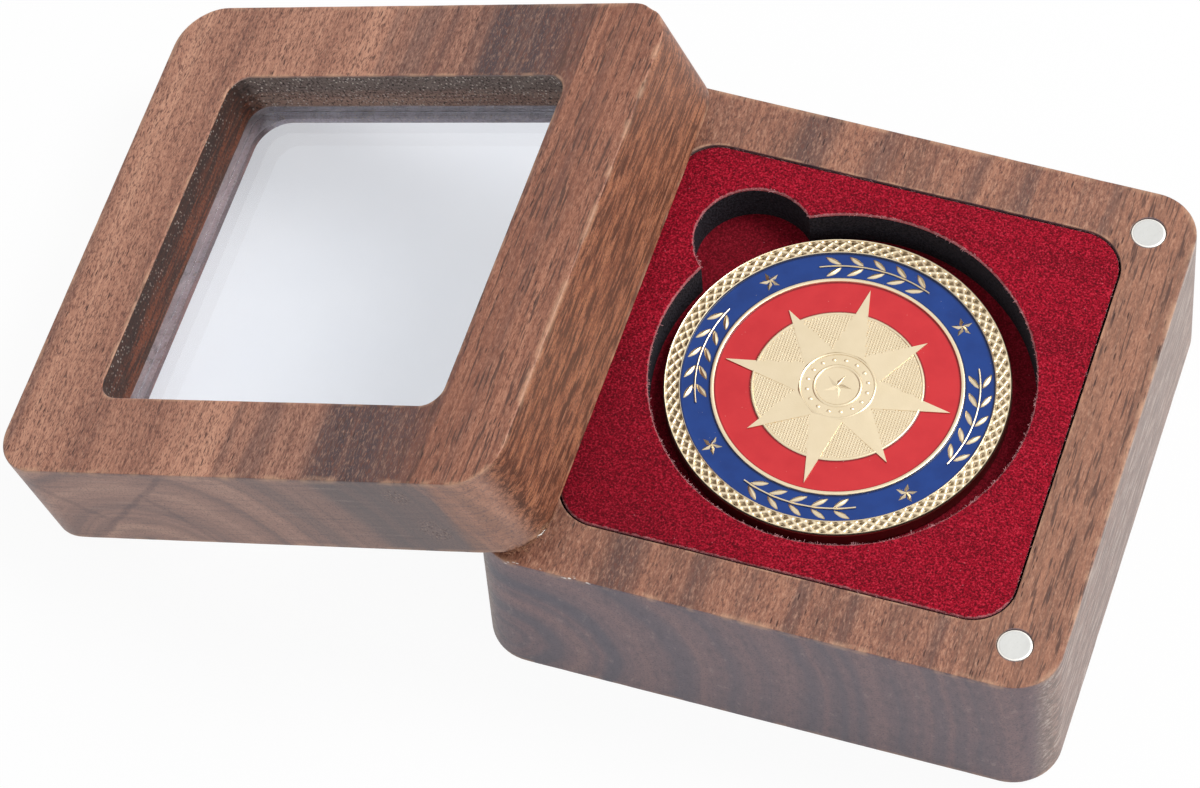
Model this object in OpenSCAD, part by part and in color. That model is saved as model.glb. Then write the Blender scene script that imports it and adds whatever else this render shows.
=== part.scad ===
// Coin display case: walnut base with a velvet insert, loose window lid, and a coin

/* [Case] */
// Side of the square footprint that base and lid share
case_w = 85; // [78:1:110]
// Radius of the upright corners of base and lid
corner_r = 7.2; // [5:0.1:12]
// Bevel that eases the outer edges of the wood
edge_ease = 0.25; // [0.2:0.05:1]

/* [Base] */
// Height of the base block
base_h = 27.5; // [20:0.5:36]
// Width of the wood rim round the insert, and round the lid's recess
rim_w = 9; // [9:0.5:11]
// Corner radius of the insert's recess and of the lid's recess
recess_r = 6.5; // [3:0.5:8]

/* [Insert] */
// Thickness of the foam
foam_h = 6; // [4:0.5:10]
// Thickness of each velvet sheet
velvet_h = 0.8; // [0.5:0.1:1.2]
// Gap between the insert and the wood round it
insert_gap = 0.35; // [0.1:0.05:0.5]
// Diameter of the thumb notch
notch_d = 17.7; // [14:0.1:18]
// How far the notch's centre lies inside the pocket's edge
notch_set = 1.1; // [0:0.1:4]
// Direction of the notch from the pocket's centre, in degrees
notch_angle = 135; // [0:45:315]

/* [Magnets] */
// Diameter of a disc magnet
magnet_d = 5; // [3:0.5:6]
// Thickness of a disc magnet
magnet_h = 2; // [1:0.5:4]
// Distance from a magnet's centre to the two nearest outer sides
magnet_inset = 7; // [6.5:0.1:8]
// Gap round a magnet in its hole
magnet_gap = 0.1; // [0.05:0.05:0.25]
// How far a magnet lies below the wood
magnet_sink = 0.1; // [0:0.05:0.2]

/* [Lid] */
// Height of the lid
lid_h = 17; // [14:0.5:24]
// Width of the wood frame round the window
frame_w = 13.3; // [12:0.1:16]
// Corner radius of the window
window_r = 3.3; // [2:0.1:8]
// Height of the window's wall above the pane
pane_drop = 7; // [4:0.5:8]
// Thickness of the pane
pane_h = 3; // [1.5:0.5:3.5]
// Gap round the pane
pane_gap = 0.1; // [0.05:0.05:0.3]
// Width of the ledge that carries the pane
ledge_w = 1.3; // [0.8:0.1:2]
// Thickness of the ledge
ledge_h = 1; // [0.5:0.1:1.5]
// Corner radius of the opening inside the ledge
ledge_r = 5; // [3:0.5:9]

/* [Resting place of the lid] */
// How far the leaning lid reaches past the base's edge, along its own underside
overhang = 12.2; // [5:0.1:25]
// Gap between the leaning lid and the base's edge
lean_gap = 0.25; // [0.2:0.05:0.4]
// Turn of the leaning lid on the table, in degrees
lid_turn = -0.5; // [-0.5:0.1:0.5]
// Sideways place of the leaning lid
lid_shift = 0.4; // [-1:0.1:1]

/* [Coin] */
// Diameter of the coin
coin_d = 50; // [44:1:52]
// Thickness of the coin at its rim
coin_h = 3; // [2.5:0.1:4]
// Gap round a centred coin in its pocket
pocket_gap = 2.8; // [1.5:0.1:4]
// Gap between the coin and the pocket's floor
coin_lift = 0.1; // [0.05:0.05:0.3]
// Place of the coin in its pocket, to the right
coin_x = -1; // [-1:0.1:1]
// Place of the coin in its pocket, to the back
coin_y = 0.7; // [-1:0.1:1]
// Bevel of the coin's outer edge
coin_ease = 0.35; // [0.1:0.05:0.5]
// Width of the raised rim
coin_rim_w = 2.4; // [1.5:0.1:3]
// Width of the blue ring
ring_w = 4.3; // [3.8:0.1:5]
// Width of the border between the ring and the field
border_w = 0.6; // [0.4:0.1:1]
// Depth of the enamel channels below the rim
channel_h = 1; // [0.6:0.1:1.2]
// Thickness of the enamel
enamel_h = 0.5; // [0.3:0.05:0.5]
// How far the border, the ring's marks and the rose lie below the rim
relief_drop = 0.15; // [0.1:0.05:0.2]
// How far the medallion lies below the rim
medallion_drop = 0.3; // [0.2:0.05:0.4]

/* [Coin ornament] */
// Sprays of leaves in the blue ring
sprays = 4; // [2:1:6]
// Pairs of leaves in a spray
leaf_pairs = 5; // [3:1:6]
// Step between two pairs of leaves, in degrees
leaf_step = 9; // [8.5:0.5:10]
// Length of a leaf
leaf_l = 2.6; // [2:0.1:3]
// Width of a leaf
leaf_w = 1.1; // [0.8:0.1:1.3]
// Slant of a leaf from the ring's direction, in degrees
leaf_slant = 32; // [20:1:45]
// Distance from a leaf's middle to the middle of the ring
leaf_off = 0.95; // [0.8:0.05:1.1]
// Outer radius of the ring's stars
ring_star_r = 1.6; // [1:0.1:1.8]
// Inner radius of the ring's stars
ring_star_in = 0.7; // [0.5:0.05:0.8]
// Width of the red enamel round the medallion
ray_l = 5.2; // [4:0.1:6]
// Gap between the rose's long points and the border
long_gap = 0.9; // [0.5:0.1:2]
// Gap between the rose's short points and the border
short_gap = 3; // [2:0.1:4]
// Waist radius of the rose
rose_in = 4.6; // [4:0.1:5]
// Radius of the roundel in the middle
roundel_r = 5.2; // [4.5:0.1:6]
// Width of the roundel's blue ring
roundel_w = 1.6; // [1:0.1:2]
// Width of the gold line inside that ring
roundel_line = 0.5; // [0.3:0.1:0.8]

/* [Hidden] */
$fn = 96;
// Overrun of a cut past the face it opens
cut = 1;

recess_w = case_w - 2 * rim_w;
insert_w = recess_w - 2 * insert_gap;
pocket_d = coin_d + 2 * pocket_gap;

insert_r = recess_r - insert_gap;
insert_h = foam_h + 2 * velvet_h;
floor_z = base_h - velvet_h - foam_h;
magnet_at = case_w / 2 - magnet_inset;
magnet_hole_d = magnet_d + 2 * magnet_gap;
magnet_hole_h = magnet_h + magnet_sink;

notch_reach = pocket_d / 2 - notch_set;

window_w = case_w - 2 * frame_w;
well_h = pane_drop + pane_h;
sight_w = window_w - 2 * ledge_w;
lid_recess_h = lid_h - well_h - ledge_h;

// The lid's left foot stands on the table, and its underside passes just over the base's edge
lean_l = case_w - overhang - edge_ease;
lean_angle = asin(base_h / sqrt(lean_l * lean_l + lean_gap * lean_gap)) + atan(lean_gap / lean_l);
foot_x = edge_ease - case_w / 2 - lean_l * cos(lean_angle) - lean_gap * sin(lean_angle);

coin_r = coin_d / 2;
ring_out = coin_r - coin_rim_w;
ring_in = ring_out - ring_w;
ring_mid = (ring_out + ring_in) / 2;
field_r = ring_in - border_w;
medallion_r = field_r - ray_l;
channel_z = coin_h - channel_h;
relief_h = channel_h - relief_drop;
medallion_h = channel_h - medallion_drop;
// Angle between two sprays, with a star halfway
spray_turn = 360 / sprays;

// Square with round corners
module round_square(side, r) {
    square([side - 2 * r, side], center = true);
    square([side, side - 2 * r], center = true);
    for (x = [-1, 1], y = [-1, 1])
        translate([x * (side / 2 - r), y * (side / 2 - r)]) circle(r);
}

// Section through an eased block, from its middle line out to half its width
module eased_section(half, h, ease) {
    polygon([[0, 0], [half - ease, 0], [half, ease], [half, h - ease], [half - ease, h], [0, h]]);
}

// Block with round upright corners and eased top and bottom edges
module eased_block(side, h, r, ease) {
    for (turn = [0, 90])
        rotate([90, 0, turn])
            linear_extrude(side - 2 * r, center = true) {
                eased_section(side / 2, h, ease);
                mirror([1, 0]) eased_section(side / 2, h, ease);
            }
    for (x = [-1, 1], y = [-1, 1])
        translate([x * (side / 2 - r), y * (side / 2 - r), 0])
            rotate_extrude() eased_section(r, h, ease);
}

// Hole for each corner magnet, open upwards at height 0
module magnet_holes() {
    for (x = [-1, 1], y = [-1, 1])
        translate([x * magnet_at, y * magnet_at, -magnet_hole_h])
            cylinder(h = magnet_hole_h + cut, d = magnet_hole_d);
}

// Pocket for the coin, with its thumb notch
module pocket_outline() {
    circle(d = pocket_d);
    rotate(notch_angle) translate([notch_reach, 0]) circle(d = notch_d);
}

// Insert seen from above, with the pocket cut out
module insert_outline() {
    difference() {
        round_square(insert_w, insert_r);
        pocket_outline();
    }
}

module base_block() {
    color("#6f4a3a")
        difference() {
            eased_block(case_w, base_h, corner_r, edge_ease);
            translate([0, 0, base_h - insert_h])
                linear_extrude(insert_h + cut) round_square(recess_w, recess_r);
            translate([0, 0, base_h]) magnet_holes();
        }
}

module foam_insert() {
    color("#161616") translate([0, 0, floor_z]) linear_extrude(foam_h) insert_outline();
}

module top_velvet() {
    color("#a3122b") translate([0, 0, base_h - velvet_h]) linear_extrude(velvet_h) insert_outline();
}

module floor_velvet() {
    color("#6b0d1c")
        translate([0, 0, base_h - insert_h]) linear_extrude(velvet_h) round_square(insert_w, insert_r);
}

// Magnet in a corner of the base, where x and y are -1 or 1
module base_magnet(x, y) {
    color("#c9c9c9")
        translate([x * magnet_at, y * magnet_at, base_h - magnet_hole_h])
            cylinder(h = magnet_h, d = magnet_d);
}

// Moves a piece of the lid from the lid's own frame to where the lid leans
module leaning() {
    translate([foot_x, lid_shift, 0])
        rotate([0, 0, lid_turn])
            rotate([0, -lean_angle, 0])
                translate([case_w / 2 - edge_ease, 0, 0]) children();
}

module lid_frame() {
    color("#9c6248")
        leaning()
            difference() {
                eased_block(case_w, lid_h, corner_r, edge_ease);
                translate([0, 0, lid_h - well_h])
                    linear_extrude(well_h + cut) round_square(window_w, window_r);
                translate([0, 0, -cut]) linear_extrude(lid_h) round_square(sight_w, ledge_r);
                translate([0, 0, -cut])
                    linear_extrude(lid_recess_h + cut) round_square(recess_w, recess_r);
                mirror([0, 0, 1]) magnet_holes();
            }
}

module window_pane() {
    color("#d9e4ea", 0.35)
        leaning()
            translate([0, 0, lid_h - well_h])
                linear_extrude(pane_h) round_square(window_w - 2 * pane_gap, window_r - pane_gap);
}

// Magnet in a corner of the lid's underside, where x and y are -1 or 1
module lid_magnet(x, y) {
    color("#c9c9c9")
        leaning()
            translate([x * magnet_at, y * magnet_at, magnet_sink]) cylinder(h = magnet_h, d = magnet_d);
}

// Moves a piece of the coin from the coin's own frame to where the coin lies
module in_pocket() {
    translate([coin_x, coin_y, floor_z + coin_lift]) children();
}

// Star with n points
module star(n, r_out, r_in) {
    polygon([
        for (i = [0 : 2 * n - 1])
            (i % 2 == 0 ? r_out : r_in) * [cos(180 * i / n), sin(180 * i / n)]
    ]);
}

// Pointed leaf along X, the overlap of two circles
module leaf() {
    arc_r = (leaf_l * leaf_l + leaf_w * leaf_w) / (4 * leaf_w);
    intersection() {
        translate([0, arc_r - leaf_w / 2]) circle(arc_r);
        translate([0, leaf_w / 2 - arc_r]) circle(arc_r);
    }
}

// Leaves in pairs on both sides of the ring's middle, and a star between two sprays
module ring_marks() {
    for (s = [0 : sprays - 1]) {
        for (i = [0 : leaf_pairs - 1], side = [-1, 1])
            rotate(s * spray_turn + (i - (leaf_pairs - 1) / 2) * leaf_step)
                translate([ring_mid + side * leaf_off, 0])
                    rotate(90 - side * leaf_slant) leaf();
        rotate((s + 0.5) * spray_turn) translate([ring_mid, 0]) star(5, ring_star_r, ring_star_in);
    }
}

// Compass rose of four long and four short points
module rose() {
    rotate(45) star(4, field_r - short_gap, rose_in);
    star(4, field_r - long_gap, rose_in);
}

// Gold in the middle that the red enamel goes round
module medallion_outline() {
    circle(medallion_r);
    rose();
}

// Turned body of the coin, with its ring channel and its field
module coin_body() {
    rotate_extrude()
        polygon([
            [0, 0],
            [coin_r - coin_ease, 0],
            [coin_r, coin_ease],
            [coin_r, coin_h - coin_ease],
            [coin_r - coin_ease, coin_h],
            [ring_out, coin_h],
            [ring_out, channel_z],
            [ring_in, channel_z],
            [ring_in, coin_h - relief_drop],
            [field_r, coin_h - relief_drop],
            [field_r, channel_z],
            [0, channel_z]
        ]);
}

module coin_blank() {
    color("#d8bd78")
        in_pocket() {
            coin_body();
            translate([0, 0, channel_z]) linear_extrude(relief_h) ring_marks();
            translate([0, 0, channel_z]) linear_extrude(medallion_h) gold_disc(medallion_r);
            translate([0, 0, channel_z])
                linear_extrude(relief_h)
                    difference() {
                        rose();
                        circle(roundel_r + roundel_line);
                    }
        }
}

// Disc of the medallion with the roundel's ring and dot left open for enamel
module gold_disc(r) {
    difference() {
        circle(r);
        circle(roundel_r);
    }
    difference() {
        circle(roundel_r - roundel_w);
        circle(roundel_r - roundel_w - roundel_line);
    }
}

// Layer of enamel on the floor of the channels
module enamel() {
    in_pocket() translate([0, 0, channel_z]) linear_extrude(enamel_h) children();
}

module coin_blue_enamel() {
    color("#1d3f94")
        enamel() {
            difference() {
                circle(ring_out);
                circle(ring_in);
                ring_marks();
            }
            difference() {
                circle(roundel_r);
                circle(roundel_r - roundel_w);
            }
        }
}

module coin_red_enamel() {
    color("#d8343c")
        enamel() {
            difference() {
                circle(field_r);
                medallion_outline();
            }
            circle(roundel_r - roundel_w - roundel_line);
        }
}

base_block();
foam_insert();
top_velvet();
floor_velvet();
base_magnet(-1, -1);  // base_magnet_front_left
base_magnet(1, -1);  // base_magnet_front_right
base_magnet(-1, 1);  // base_magnet_back_left
base_magnet(1, 1);  // base_magnet_back_right
lid_frame();
window_pane();
lid_magnet(-1, -1);  // lid_magnet_front_left
lid_magnet(1, -1);  // lid_magnet_front_right
lid_magnet(-1, 1);  // lid_magnet_back_left
lid_magnet(1, 1);  // lid_magnet_back_right
coin_blank();
coin_blue_enamel();
coin_red_enamel();
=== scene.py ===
import math

import bmesh
import bpy
import numpy as np
from mathutils import Matrix, Vector, noise


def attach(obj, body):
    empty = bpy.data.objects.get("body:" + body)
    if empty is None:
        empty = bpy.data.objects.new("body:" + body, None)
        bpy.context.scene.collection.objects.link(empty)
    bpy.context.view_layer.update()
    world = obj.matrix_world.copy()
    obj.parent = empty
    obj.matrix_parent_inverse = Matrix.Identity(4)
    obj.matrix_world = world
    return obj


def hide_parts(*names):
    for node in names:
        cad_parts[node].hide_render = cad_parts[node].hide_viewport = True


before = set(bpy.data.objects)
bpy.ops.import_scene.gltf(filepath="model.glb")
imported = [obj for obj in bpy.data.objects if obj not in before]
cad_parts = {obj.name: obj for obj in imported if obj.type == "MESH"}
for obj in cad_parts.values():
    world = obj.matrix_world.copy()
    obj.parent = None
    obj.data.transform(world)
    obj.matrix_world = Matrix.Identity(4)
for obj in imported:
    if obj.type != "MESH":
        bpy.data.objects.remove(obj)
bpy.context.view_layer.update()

# Sizes are in millimetres, as in the part's source, and MM turns them into metres
MM = 0.001
CASE_SIDE, CORNER_R, EASE = 85.0, 7.2, 0.25
BASE_H = 27.5
RECESS_SIDE, RECESS_R = 67.0, 6.5
INSERT_SIDE, INSERT_R = 66.3, 6.15
FOAM_H, VELVET_H = 6.0, 0.8
FLOOR_Z = BASE_H - VELVET_H - FOAM_H
POCKET_R = 27.8
NOTCH_R, NOTCH_REACH, NOTCH_ANGLE = 8.85, 26.7, math.radians(135)
MAGNET_AT, MAGNET_R, MAGNET_H = 35.5, 2.5, 2.0
MAGNET_GAP, MAGNET_SINK = 0.1, 0.1
LID_H = 17.0
WINDOW_SIDE, WINDOW_R = 58.4, 3.3
PANE_TOP, PANE_BOTTOM, PANE_GAP = 10.0, 7.0, 0.1
SIGHT_SIDE, SIGHT_R = 55.8, 5.0
LID_RECESS_H = 6.0
OVERHANG, LEAN_GAP = 12.2, 0.25
LID_TURN, LID_SHIFT = math.radians(-0.5), 0.4
COIN_AT = (-1.0, 0.7, FLOOR_Z + 0.1)
COIN_R = 25.0
RING_OUT, RING_IN, FIELD_R, MEDALLION_R = 22.6, 18.3, 17.7, 12.5
CHANNEL_Z, ENAMEL_Z = 2.0, 2.5
ROUNDEL_R, ROUNDEL_IN, DOT_R = 5.2, 3.6, 3.1

RECESS_EASE, RECESS_WORN = 0.15, 0.3
WINDOW_EASE, WINDOW_WORN = 0.25, 0.35
# Chips in the lid's edges: where, how far they reach and how deep they go
LID_CHIPS = [(38.5, 42.3, LID_H, 2.2, 0.5), (41.8, 39.2, LID_H, 1.6, 0.45), (42.3, 30.0, LID_H, 1.0, 0.2),
             (36.0, -42.3, 0, 3.0, 0.5)]

LEAN_LENGTH = CASE_SIDE - OVERHANG - EASE
LEAN = math.asin(BASE_H / math.hypot(LEAN_LENGTH, LEAN_GAP)) + math.atan(LEAN_GAP / LEAN_LENGTH)
FOOT_X = EASE - CASE_SIDE / 2 - LEAN_LENGTH * math.cos(LEAN) - LEAN_GAP * math.sin(LEAN)
LID_PLACE = (
    Matrix.Translation((FOOT_X, LID_SHIFT, 0))
    @ Matrix.Rotation(LID_TURN, 4, "Z")
    @ Matrix.Rotation(-LEAN, 4, "Y")
    @ Matrix.Translation((CASE_SIDE / 2 - EASE, 0, 0))
)
HERE, OVER = Matrix.Identity(4), Matrix.Rotation(math.pi, 4, "X")
CORNERS = {"front_left": (-1, -1), "front_right": (1, -1), "back_left": (-1, 1), "back_right": (1, 1)}


# Meshes

def linked(name, data):
    """Object in the scene."""
    thing = bpy.data.objects.new(name, data)
    bpy.context.scene.collection.objects.link(thing)
    return thing


def new_piece(name, mesh, materials, place=HERE):
    """Object at the origin whose mesh, made in millimetres, is put in its place in metres."""
    mesh.transform(Matrix.Scale(MM, 4) @ place)
    mesh.name = name
    for material in materials:
        mesh.materials.append(material)
    return linked(name, mesh)


def settle(mesh, place):
    """Puts a mesh that was made about the origin, and is in metres already, in its place."""
    mesh.transform(Matrix.Scale(MM, 4) @ place @ Matrix.Scale(1 / MM, 4))


def stands_for(piece, body, node):
    """Tells the frame which body a piece rides and which node it replaces."""
    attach(piece, body)
    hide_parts(node)


def rounded_square(side, radius, corner_steps=14, side_steps=40):
    """Points round a square with round corners, as many for every size."""
    half, points = side / 2, []
    for quarter in range(4):
        c, s = math.cos(quarter * math.pi / 2), math.sin(quarter * math.pi / 2)
        run = [(half, (2 * i / side_steps - 1) * (half - radius)) for i in range(side_steps)]
        for i in range(corner_steps):
            a = math.pi / 2 * i / corner_steps
            run.append((half - radius + radius * math.cos(a), half - radius + radius * math.sin(a)))
        points += [(x * c - y * s, x * s + y * c) for x, y in run]
    return np.array(points)


def skin(rings, closed=False, caps=(), merge=1e-5):
    """Mesh of quads between rings of equally many points; caps lists the end rings that get a face."""
    count = len(rings[0])
    verts = [tuple(p) for ring in rings for p in ring]
    faces = []
    last = len(rings) if closed else len(rings) - 1
    for i in range(last):
        a, b = i * count, (i + 1) % len(rings) * count
        faces += [(a + j, a + (j + 1) % count, b + (j + 1) % count, b + j) for j in range(count)]
    for end in caps:
        start = end % len(rings) * count
        faces.append(tuple(range(start, start + count)))
    mesh = bpy.data.meshes.new("skin")
    mesh.from_pydata(verts, [], faces)
    tidy(mesh, merge)
    return mesh


def tidy(mesh, merge=1e-5):
    """Merges doubles, unless merge is 0, and turns the faces outwards."""
    work = bmesh.new()
    work.from_mesh(mesh)
    if merge:
        bmesh.ops.remove_doubles(work, verts=work.verts, dist=merge)
    bmesh.ops.recalc_face_normals(work, faces=work.faces)
    work.to_mesh(mesh)
    work.free()


def lathe(profile, steps=192, closed=False):
    """Turned solid from a profile of (radius, height), on the axis at both ends or closed for a ring."""
    rings = [[(r * math.cos(2 * math.pi * i / steps), r * math.sin(2 * math.pi * i / steps), z)
              for i in range(steps)] for r, z in profile]
    return skin(rings, closed)


def outcome(piece):
    """Plain mesh of what a curve, or the modifiers of a piece, make."""
    graph = bpy.context.evaluated_depsgraph_get()
    return bpy.data.meshes.new_from_object(piece.evaluated_get(graph))


def baked(piece):
    """Turns what the modifiers of a piece make into its plain mesh."""
    mesh = outcome(piece)
    piece.modifiers.clear()
    piece.data = mesh
    return piece


def smooth(piece, degrees=35):
    """Smooth shading with sharp edges past an angle, and flat faces kept flat."""
    mesh = piece.data
    mesh.shade_smooth()
    mesh.set_sharp_from_angle(angle=math.radians(degrees))
    weighted = piece.modifiers.new("weighted", "WEIGHTED_NORMAL")
    weighted.keep_sharp = True
    return baked(piece)


def fillet(side, radius, z, size, up, outer, steps):
    """Rings that round an edge of a block: outer for its outside, up for the end that faces up."""
    rings = []
    for i in range(steps + 1):
        a = math.pi / 2 * i / steps
        inset, drop = size * (1 - math.sin(a)), size * (1 - math.cos(a))
        sign = -1 if outer else 1
        rings.append((side + sign * 2 * inset, radius + sign * inset, z - drop if up else z + drop))
    return rings


def worn_edge(side, radius, z, size, up, outer, steps, reach=0.7):
    """A rounded edge between two rings a little further along both faces, where its wear has ended."""
    edge = fillet(side, radius, z, size, up, outer, steps)
    sign, far = (-1 if outer else 1), size + reach
    start = (side + sign * 2 * far, radius + sign * far, z)
    end = (side, radius, z - far if up else z + far)
    return [(*start, 0.0), *[(*ring, 1.0) for ring in edge], (*end, 0.0)]


def wood_block(name, profile, closed, caps, cutters, materials, chips=()):
    """Block made from rings of (side, radius, height, wear), with uneven rounded edges and holes cut."""
    rings, wear = [], []
    for side, radius, z, amount in profile:
        ring = []
        for x, y in rounded_square(side, radius):
            point = Vector((x, y, z))
            if amount:
                bite = 0.05 * noise.noise(point * 0.35) + 0.03 * noise.noise(point * 1.3)
                for cx, cy, cz, reach, depth in chips:
                    near = 1 - (point - Vector((cx, cy, cz))).length / reach
                    if near > 0:
                        bite += depth * near * (0.6 + noise.noise(point * 2.1 + Vector((7, 0, 0))))
                # Wear goes inwards on the outer sides, and outwards round the recess and the window
                sign = -1 if side > (RECESS_SIDE + CASE_SIDE) / 2 else 1
                point += Vector((sign * x, sign * y, 0)).normalized() * max(bite, 0)
            ring.append(point)
            wear.append(amount)
        rings.append(ring)
    # No doubles are merged, so that one value a point can be stored
    mesh = skin(rings, closed, caps, merge=0)
    worn_layer = mesh.attributes.new("worn", "FLOAT", "POINT")
    worn_layer.data.foreach_set("value", wear)
    piece = new_piece(name, mesh, materials)
    for index, cutter in enumerate(cutters):
        cut = piece.modifiers.new(f"hole {index}", "BOOLEAN")
        cut.operation, cut.solver, cut.object = "DIFFERENCE", "EXACT", cutter
    baked(piece)
    for cutter in cutters:
        bpy.data.objects.remove(cutter)
    return piece


def magnet_cutters(z, turn=HERE):
    """Tools for the four blind magnet holes, whose mouths are a little broken."""
    r, deep = MAGNET_R + MAGNET_GAP, MAGNET_H + MAGNET_SINK
    profile = [(0, -deep), (r, -deep), (r, -0.1), (r + 0.12, 0.02), (r + 0.12, 1), (0, 1)]
    return [new_piece("cutter", lathe(profile, 64), [],
                      Matrix.Translation((x * MAGNET_AT, y * MAGNET_AT, z)) @ turn)
            for x, y in CORNERS.values()]


# Nodes

def operator(operation, turned=False):
    """Method that adds a Math node; turned puts the wire last."""
    def method(self, *others):
        return self.step(operation, *((*others, self) if turned else (self, *others)))
    return method


class Wire:
    """A socket in a sum: each operator adds its Math node."""

    def __init__(self, graph, socket):
        self.graph, self.socket = graph, socket

    def step(self, operation, *values):
        return self.graph.node("ShaderNodeMath", {"operation": operation}, dict(enumerate(values)))

    __add__ = __radd__ = operator("ADD")
    __sub__, __rsub__ = operator("SUBTRACT"), operator("SUBTRACT", turned=True)
    __mul__ = __rmul__ = operator("MULTIPLY")
    __truediv__, __rtruediv__ = operator("DIVIDE"), operator("DIVIDE", turned=True)
    __pow__ = operator("POWER")
    fract, floor, absolute = operator("FRACT"), operator("FLOOR"), operator("ABSOLUTE")
    least, most = operator("MINIMUM"), operator("MAXIMUM")
    below, above, equals = operator("LESS_THAN"), operator("GREATER_THAN"), operator("COMPARE")
    wave, quarter_wave, bearing = operator("SINE"), operator("COSINE"), operator("ARCTAN2")
    rest = operator("FLOORED_MODULO")

    def outputs(self):
        return [Wire(self.graph, socket) for socket in self.socket.node.outputs]


class Graph:
    """A node tree that is being written."""

    def __init__(self, tree):
        self.tree = tree

    def node(self, kind, settings=None, sockets=None, out=0):
        """Adds a node: settings first, with a ramp's stops among them, then its sockets' values or wires."""
        node = self.tree.nodes.new(kind)
        for name, value in (settings or {}).items():
            if name == "stops":
                while len(node.color_ramp.elements) < len(value):
                    node.color_ramp.elements.new(1.0)
                for element, (place, colour) in zip(node.color_ramp.elements, value):
                    element.position, element.color = place, colour
            else:
                setattr(node, name, value)
        for key, value in (sockets or {}).items():
            if isinstance(value, Wire):
                self.tree.links.new(value.socket, node.inputs[key])
            else:
                node.inputs[key].default_value = value
        return Wire(self, node.outputs[out])

    def xyz(self, vector):
        return self.node("ShaderNodeSeparateXYZ", {}, {0: vector}).outputs()

    def vector(self, x, y, z):
        return self.node("ShaderNodeCombineXYZ", {}, {0: x, 1: y, 2: z})

    def stretch(self, vector, factors):
        """Multiplies a vector by three factors, or by one."""
        factors = factors if isinstance(factors, tuple) else (factors,) * 3
        return self.node("ShaderNodeVectorMath", {"operation": "MULTIPLY"}, {0: vector, 1: factors})

    def grain(self, vector, factors, detail=2.0, roughness=0.5):
        """Noise from 0 to 1, whose size along each axis is one over the factor."""
        return self.node("ShaderNodeTexNoise", {"noise_dimensions": "3D"},
                         {"Vector": self.stretch(vector, factors), "Scale": 1.0, "Detail": detail,
                          "Roughness": roughness})

    def cells(self, vector, factors, spread=1.0):
        return self.node("ShaderNodeTexVoronoi", {"feature": "F1"},
                         {"Vector": self.stretch(vector, factors), "Scale": 1.0, "Randomness": spread})

    def rise(self, value, low, high):
        """0 below low, 1 above high, smooth between; falls where low is above high."""
        return self.node("ShaderNodeMapRange", {"interpolation_type": "SMOOTHSTEP"},
                         {"Value": value, "From Min": low, "From Max": high})

    def mix(self, factor, first, second, blend="MIX"):
        """Blend of two colours, each a wire or as the screen shows it, 0 to 255."""
        first, second = (paint(*c) if isinstance(c, tuple) else c for c in (first, second))
        return self.node("ShaderNodeMix", {"data_type": "RGBA", "blend_type": blend, "clamp_factor": True},
                         {0: factor, 6: first, 7: second}, out=2)

    def layers(self, colour, *rows):
        """Lays shades over a colour: a value, where the shade starts and is full, how much, and the shade."""
        for value, low, high, amount, shade in rows:
            colour = self.mix(self.rise(value, low, high) * amount, colour, shade)
        return colour

    def ramp(self, value, stops):
        return self.node("ShaderNodeValToRGB", {"stops": stops}, {0: value})


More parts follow.
